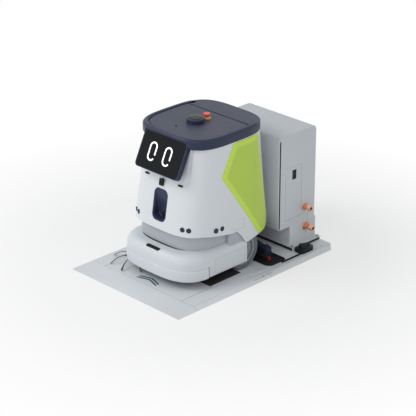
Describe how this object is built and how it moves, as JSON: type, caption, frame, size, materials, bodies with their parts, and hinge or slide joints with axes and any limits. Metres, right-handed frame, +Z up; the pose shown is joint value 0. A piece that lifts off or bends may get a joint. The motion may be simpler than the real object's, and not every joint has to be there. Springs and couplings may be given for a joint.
{
  "type": "robotic floor cleaner",
  "caption": "Self-driving scrubber with rounded tapered body, tilted face display and low scrub deck, parked on a flat water and charging station with a rear cabinet.",
  "frame": {"origin": "centre of the station plate's underside, on the floor", "axes": "+X is the robot's left side, -Y is its front and the way it leaves the station, +Z is up"},
  "size_m": [0.7, 1.025, 0.7175],
  "materials": {
    "station_grey": "satin powder coat",
    "cabinet_grey": "satin powder coat",
    "shell_white": "soft satin moulding",
    "deck_white": "satin moulding",
    "rim_navy": "fine satin",
    "panel_slate": "fine grain",
    "glass_black": "gloss",
    "eye_white": "lit",
    "green": "satin",
    "black_rubber": "matt",
    "tyre_grey": "matt",
    "hub_grey": "satin",
    "black_plastic": "satin",
    "marker_teal": "matt",
    "brass": "satin",
    "steel": "brushed",
    "dark_steel": "satin",
    "red_plastic": "gloss",
    "yellow_plastic": "satin",
    "red_rubber": "matt",
    "bristle_blue": "bristle",
    "bristle_black": "bristle",
    "tank_blue": "translucent look",
    "tank_grey": "satin"
  },
  "bodies": {
    "station": {"dock_base_plate": "station_grey", "dock_mats": "black_rubber", "dock_arrow_marker": "marker_teal", "dock_plinth": "cabinet_grey", "dock_seal_frame": "black_rubber", "dock_cabinet": "cabinet_grey", "dock_inlet_fitting": "brass", "dock_drain_fitting": "brass", "dock_cap_chain": "steel", "dock_charge_head": "black_plastic", "dock_hose_block": "black_plastic", "dock_bolts": "steel"},
    "station_door": {"dock_service_door": "cabinet_grey", "dock_door_pull": "black_plastic"},
    "chassis": {"chassis_plate": "dark_steel", "neck_cover": "deck_white", "lower_deck": "deck_white", "body_shell": "shell_white", "top_rim": "rim_navy", "top_panel": "panel_slate", "lid_hinge": "dark_steel", "lidar_base": "rim_navy", "estop_collar": "yellow_plastic", "display_housing": "rim_navy", "display_glass": "glass_black", "display_eyes": "eye_white", "front_camera": "black_plastic", "sensor_recess": "rim_navy", "recess_lens": "glass_black", "sonar_sensors": "rim_navy", "front_lights": "black_plastic", "line_sensor_window": "glass_black", "side_panel_left": "green", "side_panel_right": "green", "port_socket": "black_plastic", "drive_motors": "dark_steel", "clean_tank": "tank_blue", "dirty_tank": "tank_grey", "battery_pack": "black_plastic", "charge_contacts": "brass"},
    "bumper": {"front_bumper": "deck_white"},
    "lid": {"rear_lid": "panel_slate"},
    "lidar_rotor": {"lidar_head": "black_plastic"},
    "stop_button": {"estop_button": "red_plastic"},
    "power_button": {"panel_button": "black_plastic"},
    "service_flap": {"port_flap": "shell_white"},
    "brush_door_l": {"brush_door_left": "deck_white"},
    "brush_door_r": {"brush_door_right": "deck_white"},
    "drive_wheel_l": {"tyre_left": "tyre_grey", "hub_left": "hub_grey"},
    "drive_wheel_r": {"tyre_right": "tyre_grey", "hub_right": "hub_grey"},
    "caster_swivel": {"caster_fork": "steel"},
    "caster_roller": {"caster_wheel": "tyre_grey"},
    "brush_deck": {"brush_housing": "black_plastic"},
    "roller": {"roller_brush": "bristle_blue"},
    "side_brush": {"side_brush": "bristle_black"},
    "squeegee": {"squeegee_bracket": "rim_navy", "squeegee_blades": "red_rubber"}
  },
  "joints": [
    {"name": "docking_slide", "type": "slide", "parent": "station", "child": "chassis", "axis": [0, -1, 0], "range_m": [0, 0.15]},
    {"name": "station_door_hinge", "type": "hinge", "parent": "station", "child": "station_door", "pos_m": [0.219, 0.409, 0.2915], "axis": [0, 0, 1], "range_deg": [0, 90]},
    {"name": "bumper_press", "type": "slide", "parent": "chassis", "child": "bumper", "axis": [0, 1, 0], "range_m": [0, 0.005], "stiffness_N_per_m": 2500},
    {"name": "rear_lid_hinge", "type": "hinge", "parent": "chassis", "child": "lid", "pos_m": [0, 0.2155, 0.6455], "axis": [-1, 0, 0], "range_deg": [0, 95]},
    {"name": "lidar_spin", "type": "hinge", "parent": "chassis", "child": "lidar_rotor", "pos_m": [0, -0.0625, 0.7055], "axis": [0, 0, 1], "continuous": true},
    {"name": "stop_button_press", "type": "slide", "parent": "chassis", "child": "stop_button", "axis": [0, 0, -1], "range_m": [0, 0.004], "stiffness_N_per_m": 1500},
    {"name": "power_button_press", "type": "slide", "parent": "chassis", "child": "power_button", "axis": [0, 0, -1], "range_m": [0, 0.002], "stiffness_N_per_m": 600},
    {"name": "service_flap_hinge", "type": "hinge", "parent": "chassis", "child": "service_flap", "pos_m": [0.23232, -0.0215, 0.27748], "axis": [0, -1, 0], "range_deg": [0, 100]},
    {"name": "brush_door_hinge_l", "type": "hinge", "parent": "chassis", "child": "brush_door_l", "pos_m": [0.233, 0.0205, 0.0975], "axis": [0, 0, 1], "range_deg": [0, 80]},
    {"name": "brush_door_hinge_r", "type": "hinge", "parent": "chassis", "child": "brush_door_r", "pos_m": [-0.233, 0.0205, 0.0975], "axis": [0, 0, -1], "range_deg": [0, 80]},
    {"name": "drive_wheel_spin_l", "type": "hinge", "parent": "chassis", "child": "drive_wheel_l", "pos_m": [0.198, 0.0275, 0.1055], "axis": [1, 0, 0], "continuous": true},
    {"name": "drive_wheel_spin_r", "type": "hinge", "parent": "chassis", "child": "drive_wheel_r", "pos_m": [-0.198, 0.0275, 0.1055], "axis": [1, 0, 0], "continuous": true},
    {"name": "caster_swivel_turn", "type": "hinge", "parent": "chassis", "child": "caster_swivel", "pos_m": [0, -0.1905, 0.1135], "axis": [0, 0, 1], "continuous": true},
    {"name": "caster_wheel_spin", "type": "hinge", "parent": "caster_swivel", "child": "caster_roller", "pos_m": [0, -0.1725, 0.0455], "axis": [1, 0, 0], "continuous": true},
    {"name": "brush_deck_lift", "type": "slide", "parent": "chassis", "child": "brush_deck", "axis": [0, 0, 1], "range_m": [0, 0.012]},
    {"name": "roller_spin", "type": "hinge", "parent": "brush_deck", "child": "roller", "pos_m": [0, -0.0835, 0.0565], "axis": [1, 0, 0], "continuous": true},
    {"name": "side_brush_spin", "type": "hinge", "parent": "chassis", "child": "side_brush", "pos_m": [-0.182, -0.2695, 0.0495], "axis": [0, 0, 1], "continuous": true},
    {"name": "squeegee_lift", "type": "slide", "parent": "chassis", "child": "squeegee", "axis": [0, 0, 1], "range_m": [0, 0.012]}
  ]
}
